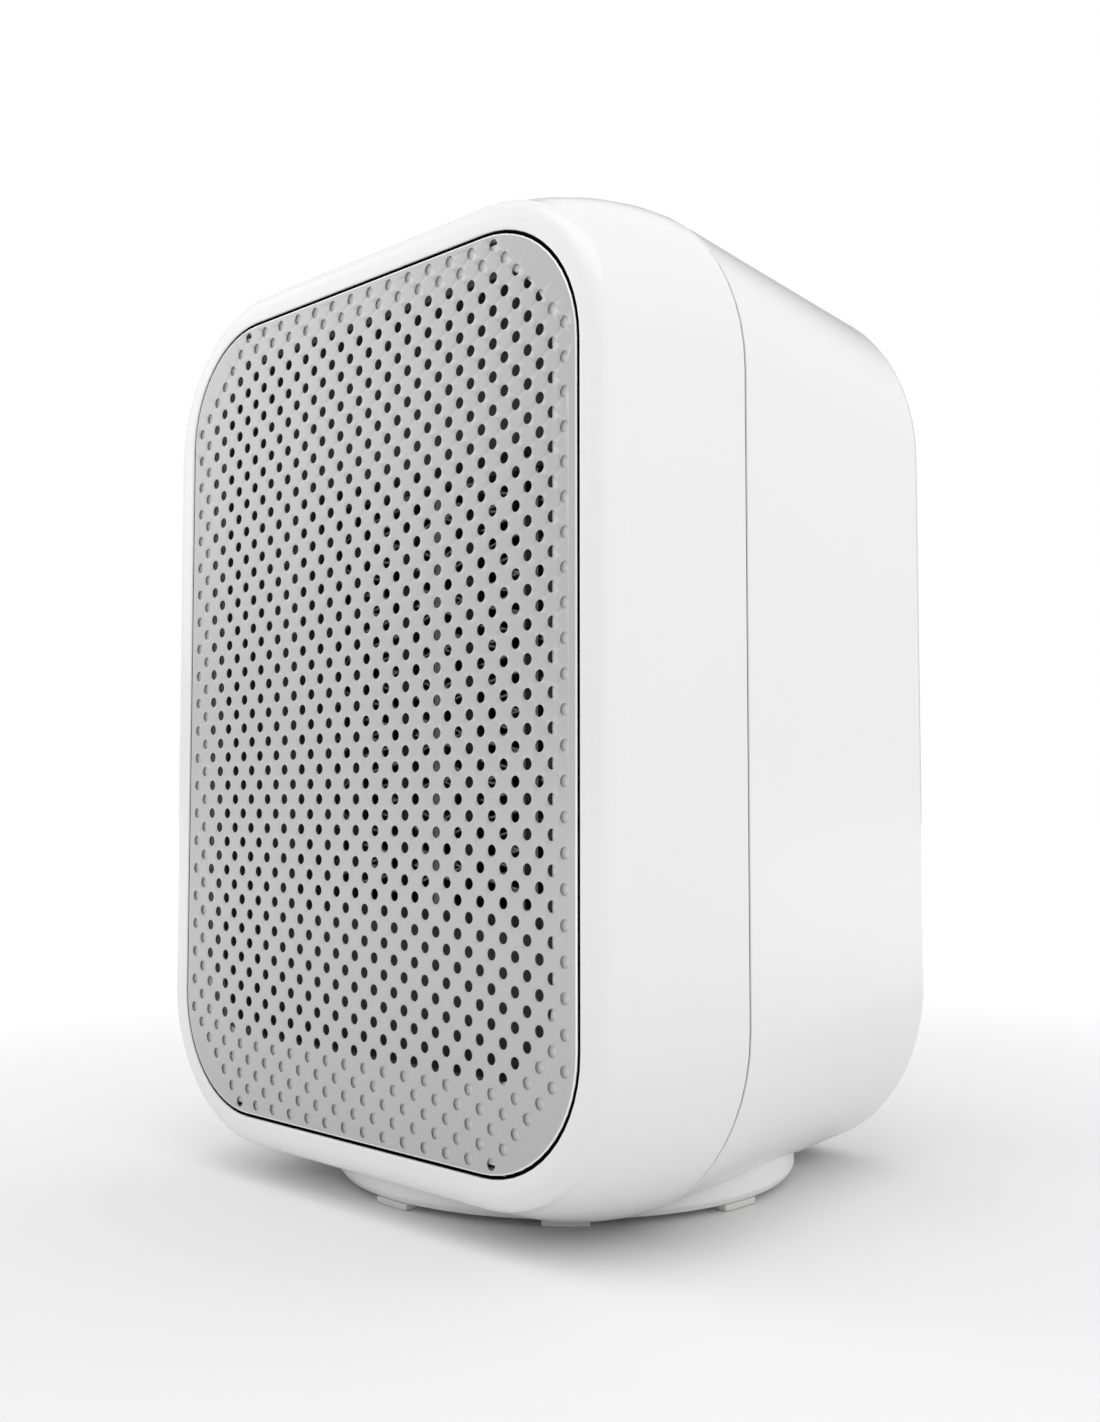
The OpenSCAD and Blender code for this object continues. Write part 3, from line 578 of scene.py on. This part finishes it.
def rear_corner(y, d):
    """The rear shell's half sizes and corner radii at depth y, inset by d."""
    t = (y - Y_SEAM) / (Y_BACK - Y_SEAM)
    r_x = CORNER_R + (REAR_CORNER_X - CORNER_R) * t - d
    r_z = CORNER_R + (REAR_CORNER_Z - CORNER_R) * t - d
    return HALF_W - REAR_TAPER * t - d, HALF_H - d, r_x, r_z


def rear_skin(y, inset=0.0):
    return rounded_ring(*rear_corner(y, inset), y)


def back_edge(radius, inset):
    """Rings round the back edge, ending on the flat back."""
    rings = []
    for k in range(1, 10):
        a = math.radians(10 * k)
        sizes = rear_corner(BACK_EDGE_Y, inset + radius * (1 - math.cos(a)))
        rings.append(rounded_ring(*sizes, BACK_EDGE_Y + radius * math.sin(a)))
    return rings


def along(y0, y1, steps):
    """Depths from y0 to y1 in equal steps, both ends included."""
    return [y0 + (y1 - y0) * i / steps for i in range(steps + 1)]


def slot_cutter(x, half, y0, y1):
    """An upright slot with round ends and a chamfered mouth on the outside."""
    rings = []
    for grow, y in ((0, y0), (0, y1 - MOUTH), (MOUTH, y1), (MOUTH, y1 + 1 * MM)):
        r = SLOT_W / 2 + grow
        ring = []
        for end, start in ((half, 0), (-half, math.pi)):
            for k in range(25):
                a = start + math.pi * k / 24
                ring.append(Vector((x + r * math.cos(a), y, AIR_Z + end + r * math.sin(a))))
        rings.append(ring)
    return loft(rings)


def back_openings():
    """Cutters for the screw wells, the intake slots, the button, the light and the inlet."""
    inside, outside = BACK_INSIDE - 1 * MM, Y_BACK + 1 * MM
    cutters = []
    for x, z in POSTS:
        cutters.append(stepped_y([(SCREW_BORE_R, Y_SEAM), (SCREW_BORE_R, SCREW_SEAT_Y),
                                  (SCREW_HEAD_R, SCREW_SEAT_Y), (SCREW_HEAD_R, Y_BACK - MOUTH),
                                  (SCREW_HEAD_R + MOUTH, Y_BACK), (SCREW_HEAD_R + MOUTH, outside)], x, z))
    for i in range(-SLOTS_EACH_SIDE, SLOTS_EACH_SIDE + 1):
        x = i * SLOT_PITCH
        half = math.sqrt(INTAKE_R ** 2 - x ** 2) - SLOT_W / 2
        cutters.append(slot_cutter(x, half, inside, Y_BACK))
    button_r = (BUTTON_HI.x - BUTTON_LO.x) / 2 + 0.3 * MM
    bevel = 0.5 * MM
    cutters.append(stepped_y([(button_r, inside), (button_r, Y_BACK - bevel), (button_r + bevel, Y_BACK),
                              (button_r + bevel, outside)], 0, middle_z(BUTTON_LO, BUTTON_HI), 96))
    lens_hole_r = LENS_R + 0.05 * MM
    cutters.append(stepped_y([(lens_hole_r, inside), (lens_hole_r, outside)], 0, middle_z(LED_LO, LED_HI)))
    neck_r, rim_r = GLAND_R + 0.05 * MM, GLAND_RIM_R + 0.1 * MM
    cutters.append(stepped_y([(neck_r, inside), (neck_r, GLAND_RIM_Y), (rim_r, GLAND_RIM_Y),
                              (rim_r, outside)], 0, middle_z(GLAND_LO, GLAND_HI), 72))
    return join(cutters)


def paint_joint_shade(obj):
    """Painted shade: the faces inside the joint between the shells get a dark grey standing in for the
    shadow there, so that the joint reads as a line.
    """
    obj.data.materials.append(MATERIALS["joint"])
    for face in obj.data.polygons:
        if face.center.y < Y_SEAM + SEAM_HALF + 0.01 * MM:
            face.material_index = 1


def rear_cover():
    """The rear shell: skin, rounded back edge, flat back, tongue into the front shell and screw posts."""
    y_edge = Y_SEAM + SEAM_HALF
    outer = [rear_skin(y_edge, EDGE), rear_skin(y_edge + EDGE * ROUND_MID, EDGE * ROUND_MID)]
    outer += [rear_skin(y) for y in along(y_edge + EDGE, BACK_EDGE_Y, 6)]
    outer += back_edge(BACK_R, 0)
    flat_d = BACK_R + 0.5 * MM
    half_w, half_h, _, _ = rear_corner(BACK_EDGE_Y, flat_d)
    outer.append(rounded_ring(half_w, half_h, REAR_CORNER_X - flat_d, REAR_CORNER_Z - flat_d, Y_BACK))
    lip_out, lip_in, lip_end = WALL + 0.3 * MM, WALL + 2.4 * MM, Y_SEAM - 3 * MM
    tongue = [rear_skin(y_edge, lip_out), inset_ring(lip_out, lip_end + 0.2 * MM),
              inset_ring(lip_out + 0.2 * MM, lip_end), inset_ring(lip_in, lip_end),
              inset_ring(lip_in, Y_SEAM + 2 * MM)]
    y_inner = Y_SEAM + 2.6 * MM
    inner = [rear_skin(y_inner, WALL + 0.8 * MM)]
    inner += [rear_skin(y, WALL) for y in along(y_inner, BACK_EDGE_Y, 4)[1:]]
    inner += back_edge(BACK_R - WALL, WALL)
    rings = list(reversed(outer)) + tongue + inner
    obj = new_object("rear_cover", mesh_of("rear_cover", *loft(rings)), "housing")
    cut_pocket(obj, loft([rear_skin(y, BURIED) for y in (y_edge + BURIED, BACK_INSIDE - BURIED)]))
    ends = [(POST_R, Y_SEAM + 1 * MM), (POST_R, BACK_INSIDE + 0.5 * MM)]
    boolean(obj, join([stepped_y(ends, x, z) for x, z in POSTS]), "UNION")
    boolean(obj, back_openings(), "DIFFERENCE")
    boolean(obj, upright(SWIVEL_HOLE_R, ROOF_Z - 1 * MM, ROOF_Z + ROOF_T + 1 * MM, 72), "DIFFERENCE")
    finish(obj, "shell")
    paint_joint_shade(obj)
    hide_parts("rear_shell")


# ---- Grille ----

PLATE_HALF_W = GRILLE_HALF_W - GRILLE_GAP
PLATE_HALF_H = GRILLE_HALF_H - GRILLE_GAP
PLATE_R = GRILLE_R - GRILLE_GAP


def hole_centres():
    for r in range(HOLE_ROWS):
        cut = max(0, CORNER_ROWS - min(r, HOLE_ROWS - 1 - r))
        for c in range(HOLE_COLS):
            if (r + c) % 2 == 0 and cut <= c < HOLE_COLS - cut:
                yield (c - (HOLE_COLS - 1) / 2) * PITCH, ((HOLE_ROWS - 1) / 2 - r) * PITCH


def circle(x, z, r):
    return [(x + r * math.cos(a), z + r * math.sin(a)) for a in full_turn(HOLE_STEPS)]


def plate_outline(inset):
    """The plate's outline as flat points about the housing's middle."""
    ring = rounded_ring(PLATE_HALF_W - inset, PLATE_HALF_H - inset, PLATE_R - inset, PLATE_R - inset, 0)
    return [(p.x, p.z - MID_Z) for p in ring]


def in_plate(p, inset):
    return inside_rounded(p, PLATE_HALF_W - inset, PLATE_HALF_H - inset, PLATE_R - inset)


def triangulated(loops, centres):
    """Flat points and triangles between an outline and its holes, and each loop's point numbers."""
    flat, edges = [], []
    for loop in loops:
        base = len(flat)
        flat.extend(Vector(p) for p in loop)
        edges.extend((base + k, base + (k + 1) % len(loop)) for k in range(len(loop)))
    coords, _, tris, sources, _, _ = delaunay_2d_cdt(flat, edges, [], 0, 1e-9, True)
    spots = {(round(x / PITCH), round(z / PITCH)) for x, z in centres}
    kept = []
    for tri in tris:
        m = sum((coords[i] for i in tri), Vector((0, 0))) / 3
        spot = (round(m.x / PITCH), round(m.y / PITCH))
        offset = (m - Vector((spot[0] * PITCH, spot[1] * PITCH))).length
        in_hole = spot in spots and offset < (HOLE_R + HOLE_ROLL) * 0.97
        if not in_hole and in_plate(m, RIM_FLAT):
            kept.append(tuple(tri))
    made_from = {source: i for i, found in enumerate(sources) for source in found}
    numbered = []
    first = 0
    for loop in loops:
        numbered.append([made_from[first + k] for k in range(len(loop))])
        first += len(loop)
    return coords, kept, numbered


def perforated_plate():
    """The plate with a rolled rim; each hole has a turned-in mouth and widens towards the back."""
    centres = list(hole_centres())
    loops = [plate_outline(RIM_FLAT)] + [circle(x, z, HOLE_R + HOLE_ROLL) for x, z in centres]
    coords, kept, numbered = triangulated(loops, centres)
    n = len(coords)
    y_rear = Y_FRONT + PLATE_T
    verts = [Vector((p.x, Y_FRONT, MID_Z + p.y)) for p in coords]
    verts += [Vector((p.x, y_rear, MID_Z + p.y)) for p in coords]
    faces = list(kept) + [tuple(i + n for i in reversed(t)) for t in kept]

    def wall(rings):
        """Faces between rings of vertex numbers."""
        for a, b in zip(rings, rings[1:]):
            for k in range(len(a)):
                m = (k + 1) % len(a)
                faces.append((a[k], a[m], b[m], b[k]))

    def level(points, y):
        """Numbers of new vertices at depth y."""
        base = len(verts)
        verts.extend(Vector((x, y, MID_Z + z)) for x, z in points)
        return list(range(base, base + len(points)))

    for (cx, cz), top in zip(centres, numbered[1:]):
        for i, (x, z) in zip(top, circle(cx, cz, HOLE_R + HOLE_FLARE)):
            verts[i + n] = Vector((x, y_rear, MID_Z + z))
        mouth = level(circle(cx, cz, HOLE_R + HOLE_ROLL * ROUND_MID), Y_FRONT + HOLE_ROLL * ROUND_MID)
        bore = level(circle(cx, cz, HOLE_R), Y_FRONT + HOLE_ROLL)
        wall([top, mouth, bore, [i + n for i in top]])
    rim = numbered[0]
    grown = []
    for k in range(7):
        a = math.radians(15 * k)
        outline = plate_outline(RIM_ROUND * (1 - math.sin(a)))
        grown.append(level(outline, Y_FRONT + RIM_ROUND * (1 - math.cos(a))))
    wall([rim] + grown + [[i + n for i in rim]])
    return verts, faces


def bent_tab(x, side):
    """One fixing tab, folded back behind the plate's top or bottom edge."""
    cut = 0.4 * MM
    z1 = MID_Z + side * (PLATE_HALF_H - RIM_FLAT)
    z0 = z1 - side * TAB_T
    rings = []
    for y, less in ((Y_FRONT + PLATE_T + 0.02 * MM, 0), (PLATE_HI.y - cut, 0), (PLATE_HI.y, cut)):
        x0, x1 = x - TAB_W / 2 + less, x + TAB_W / 2 - less
        rings.append([Vector((x0, y, z0)), Vector((x1, y, z0)), Vector((x1, y, z1)), Vector((x0, y, z1))])
    return loft(rings)


def paint_rim_highlight(obj):
    """The rolled rim gets a lighter colour as a painted highlight standing in for the light it catches, and
    a glossier finish as the bare edge of the sheet.
    """
    obj.data.materials.append(MATERIALS["rim_painted_highlight"])
    for face in obj.data.polygons:
        p = Vector((face.center.x, face.center.z - MID_Z))
        if not in_plate(p, RIM_ROUND) and face.center.y < Y_FRONT + RIM_ROUND:
            face.material_index = 1


def grille():
    tabs = [bent_tab(sx * TAB_X, sz) for sx in (-1, 1) for sz in (-1, 1)]
    obj = new_object("grille", mesh_of("grille", *join([perforated_plate()] + tabs)), "housing")
    finish(obj, "grille", 40)
    paint_rim_highlight(obj)
    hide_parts("grille_plate")


# ---- Base ----


def base():
    """The round foot with its recess, swivel post and bore."""
    top, r, low = DISC_HI.z, DISC_HI.x, DISC_LO.z
    floor, recess_r = low + COVER_T, COVER_R + 0.1 * MM
    profile = round_corners(
        [(CHAMBER_R, floor), (SWIVEL_POST_R, floor), (SWIVEL_POST_R, DECK_Z - DECK_T),
         (recess_r, DECK_Z - DECK_T), (recess_r, low), (r - 0.7 * MM, low), (r, low + 1.0 * MM),
         (r, DECK_Z), (SWIVEL_POST_R, DECK_Z), (SWIVEL_POST_R, top), (CHAMBER_R, top)],
        [0, 0, 0.3 * MM, 0.3 * MM, 0.3 * MM, 0.4 * MM, 0.8 * MM, 0.6 * MM, 0.2 * MM, 0.3 * MM, 0])
    obj = new_object("base_body", mesh_of("base_body", *lathe(profile, 160)), "base")
    finish(obj, "base")
    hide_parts("base_disc")


def base_cover():
    """The thin plate under the base, with screw wells and the plunger's hole."""
    low = DISC_LO.z
    high = low + COVER_T
    ring = [(PLUNGER_HOLE_R, low), (COVER_R, low), (COVER_R, high), (PLUNGER_HOLE_R, high)]
    solid = lathe(round_corners(ring, 0.3 * MM, 3), 128)
    cover = new_object("base_plate", mesh_of("base_plate", *solid), "base")
    wells = []
    for share in full_turn(4):
        a = share + math.pi / 4
        p = Vector((COVER_SCREW_R * math.cos(a), COVER_SCREW_R * math.sin(a), 0))
        rings = []
        for r, z in ((2.4, -1), (2.4, 0), (2.1, 0.3), (2.1, 0.5)):
            rings.append([Vector((p.x + r * MM * math.cos(b), p.y + r * MM * math.sin(b), low + z * MM))
                          for b in full_turn(40)])
        wells.append(loft(rings))
    boolean(cover, join(wells), "DIFFERENCE")
    finish(cover, "base")
    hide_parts("base_cover")


def pad_outline(angle, grow, z):
    """One pad's arc-shaped outline at height z, drawn in by grow."""
    r_out = PAD_HI.x - grow
    r_in = PAD_HI.x - PAD_W + grow
    spread = PAD_L / 2 / PAD_HI.x - grow / PAD_HI.x
    ring = []
    for r, side in ((r_out, 1), (r_in, -1)):
        for k in range(9):
            b = angle + side * spread * (k / 4 - 1)
            ring.append(Vector((r * math.cos(b), r * math.sin(b), z)))
    return ring


def pads():
    """Short arc-shaped pads under the base's rim, with rounded edges."""
    z0, z1 = PAD_LO.z, PAD_HI.z
    soft = 0.3 * MM
    heights = ((soft, z0), (soft * ROUND_MID, z0 + soft * ROUND_MID), (0, z0 + soft), (0, z1))
    parts = [loft([pad_outline(a, grow, z) for grow, z in heights]) for a in full_turn(PADS)]
    obj = new_object("base_feet", mesh_of("base_feet", *join(parts)), "base")
    finish(obj, "pad", 50)
    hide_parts("base_pads")


# ---- Back fittings ----


def button():
    """A round cap with a dished face on a short stem."""
    r = (BUTTON_HI.x - BUTTON_LO.x) / 2
    y1, y0 = BUTTON_HI.y, BUTTON_HI.y - 4 * MM
    stem_r = 2 * MM
    dish = 0.5 * MM
    body = [(0.02 * MM, BUTTON_LO.y), (stem_r, BUTTON_LO.y), (stem_r, y0), (r, y0), (r, y1 - 0.5 * MM),
            (r - 0.15 * MM, y1 - 0.15 * MM), (r - 0.5 * MM, y1)]
    face = [(r * 0.82 * k / 8, y1 - dish * (1 - (k / 8) ** 2)) for k in range(8, 0, -1)]
    solid = stepped_y(body + face, 0, middle_z(BUTTON_LO, BUTTON_HI), 72)
    obj = new_object("button_cap", mesh_of("button_cap", *solid), "button")
    finish(obj, "button")
    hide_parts("power_button")


def lens():
    """A small domed lens with a collar behind the wall."""
    y_dome = LED_HI.y - 0.5 * MM
    y_collar = BACK_INSIDE - 0.1 * MM
    stations = [(LENS_COLLAR_R, LED_LO.y), (LENS_COLLAR_R, y_collar), (LENS_R, y_collar), (LENS_R, y_dome)]
    for degrees in range(15, 90, 15):
        b = math.radians(degrees)
        stations.append((LENS_R * math.cos(b), y_dome + 0.5 * MM * math.sin(b)))
    solid = stepped_y(stations, 0, middle_z(LED_LO, LED_HI), 40)
    obj = new_object("status_lens", mesh_of("status_lens", *solid), "housing")
    shade(obj.data)
    paint(obj, "lens")
    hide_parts("led_lens")


def gland():
    """A rubber bush with a rim outside the wall and a collar inside it."""
    y0, y1 = GLAND_LO.y, GLAND_HI.y
    collar_r, y_collar = 4.9 * MM, BACK_INSIDE - 0.1 * MM
    profile = round_corners(
        [(GLAND_BORE_R, y0), (collar_r, y0), (collar_r, y_collar), (GLAND_R, y_collar),
         (GLAND_R, GLAND_RIM_Y), (GLAND_RIM_R, GLAND_RIM_Y), (GLAND_RIM_R, y1), (GLAND_BORE_R, y1)],
        [0.2 * MM, 0.5 * MM, 0.1 * MM, 0.1 * MM, 0.1 * MM, 0.1 * MM, 0.35 * MM, 0.5 * MM])
    solid = lathe(profile, 64, "Y", (0, 0, middle_z(GLAND_LO, GLAND_HI)))
    obj = new_object("cord_inlet", mesh_of("cord_inlet", *solid), "housing")
    shade(obj.data)
    paint(obj, "rubber")
    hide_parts("inlet_gland")


front_cover()
rear_cover()
grille()
base()
base_cover()
pads()
button()
lens()
gland()

# ---- Stage, light and camera ----


FLOOR_HALF = 3.0
LIGHT_AIM = Vector((0, 0, 0.07))


def smooth_change(tree, value, low, high, start, end):
    """A smooth change from start to end while value goes from low to high."""
    ramp = tree.nodes.new("ShaderNodeMapRange")
    ramp.interpolation_type = "SMOOTHSTEP"
    ramp.inputs["From Min"].default_value = low
    ramp.inputs["From Max"].default_value = high
    ramp.inputs["To Min"].default_value = start
    ramp.inputs["To Max"].default_value = end
    tree.links.new(value, ramp.inputs["Value"])
    return ramp.outputs["Result"]


def stage_floor():
    """A flat floor with painted light: darker near the heater as painted shade, and with a painted glow
    that grows away from it until it meets the white backdrop.
    """
    s = FLOOR_HALF
    mesh = bpy.data.meshes.new("floor")
    mesh.from_pydata([(-s, -s, 0), (s, -s, 0), (s, s, 0), (-s, s, 0)], [], [(0, 1, 2, 3)])
    obj = bpy.data.objects.new("floor", mesh)
    bpy.context.scene.collection.objects.link(obj)
    mat = bpy.data.materials.new("floor_painted_shade_and_glow")
    mat.use_nodes = True
    tree = mat.node_tree
    shader = tree.nodes["Principled BSDF"]
    shader.inputs["Roughness"].default_value = 0.9
    shader.inputs["Specular IOR Level"].default_value = 0.1
    shader.inputs["Emission Color"].default_value = (1, 1, 1, 1)
    place = tree.nodes.new("ShaderNodeTexCoord")
    away = tree.nodes.new("ShaderNodeVectorMath")
    away.operation = "LENGTH"
    tree.links.new(place.outputs["Object"], away.inputs[0])
    distance = away.outputs["Value"]
    # painted shade: the floor's colour is darker near the heater
    tree.links.new(smooth_change(tree, distance, 0.1, 1.6, 0.84, 1.0), shader.inputs["Base Color"])
    # painted glow: the floor gives off light of its own away from the heater, so that it reads white
    tree.links.new(smooth_change(tree, distance, 0.1, 0.5, 0.0, 0.5), shader.inputs["Emission Strength"])
    mesh.materials.append(mat)


def soft_box(name, place, size, power):
    """A rectangular soft light turned towards the middle of the heater."""
    data = bpy.data.lights.new(name, "AREA")
    data.shape = "RECTANGLE"
    data.size, data.size_y = size
    data.energy = power
    obj = bpy.data.objects.new(name, data)
    bpy.context.scene.collection.objects.link(obj)
    obj.location = place
    obj.rotation_euler = (LIGHT_AIM - Vector(place)).to_track_quat("-Z", "Y").to_euler()


def darker_side(tree, direction, start, full, level):
    """A factor of the studio's brightness: 1 all round, falling to level towards one direction.

    The fall goes by the cosine of the angle to that direction, from start to full.
    """
    place = tree.nodes.new("ShaderNodeTexCoord")
    facing = tree.nodes.new("ShaderNodeVectorMath")
    facing.operation = "DOT_PRODUCT"
    facing.inputs[1].default_value = Vector(direction).normalized()
    tree.links.new(place.outputs["Generated"], facing.inputs[0])
    return smooth_change(tree, facing.outputs["Value"], start, full, 1.0, level)


def world():
    """A white backdrop; what lights the heater is greyer low in front and in one place behind it."""
    w = bpy.data.worlds.new("studio")
    bpy.context.scene.world = w
    w.use_nodes = True
    tree = w.node_tree
    studio = tree.nodes["Background"]
    studio.inputs["Color"].default_value = (1, 1, 1, 1)
    product = tree.nodes.new("ShaderNodeMath")
    product.operation = "MULTIPLY"
    tree.links.new(darker_side(tree, (-0.45, -0.85, -0.3), 0.2, 1.0, 0.45), product.inputs[0])
    tree.links.new(darker_side(tree, (-0.62, 0.78, 0.08), 0.77, 0.96, 0.03), product.inputs[1])
    tree.links.new(product.outputs["Value"], studio.inputs["Strength"])
    backdrop = tree.nodes.new("ShaderNodeBackground")
    backdrop.inputs["Color"].default_value = (1, 1, 1, 1)
    path = tree.nodes.new("ShaderNodeLightPath")
    mix = tree.nodes.new("ShaderNodeMixShader")
    tree.links.new(path.outputs["Is Camera Ray"], mix.inputs["Fac"])
    tree.links.new(studio.outputs["Background"], mix.inputs[1])
    tree.links.new(backdrop.outputs["Background"], mix.inputs[2])
    tree.links.new(mix.outputs["Shader"], tree.nodes["World Output"].inputs["Surface"])


def camera():
    """Low three-quarter view from the heater's right, looking a little up."""
    data = bpy.data.cameras.new("camera")
    data.sensor_fit = "VERTICAL"
    data.sensor_height = 24
    data.lens = 26.02
    data.shift_y = -0.0042
    data.clip_start = 0.01
    obj = bpy.data.objects.new("camera", data)
    bpy.context.scene.collection.objects.link(obj)
    obj.location = (0.16913, -0.16908, 0.05585)
    obj.rotation_euler = (math.radians(90 + 3.51), 0, math.radians(45.59))
    bpy.context.scene.camera = obj


bpy.context.scene.view_settings.view_transform = "Standard"
stage_floor()
world()
soft_box("top_box", (0.15, -0.3, 1.0), (0.8, 0.8), 2.2)
soft_box("left_box", (-0.85, -0.5, 0.5), (0.5, 0.7), 1.1)
camera()
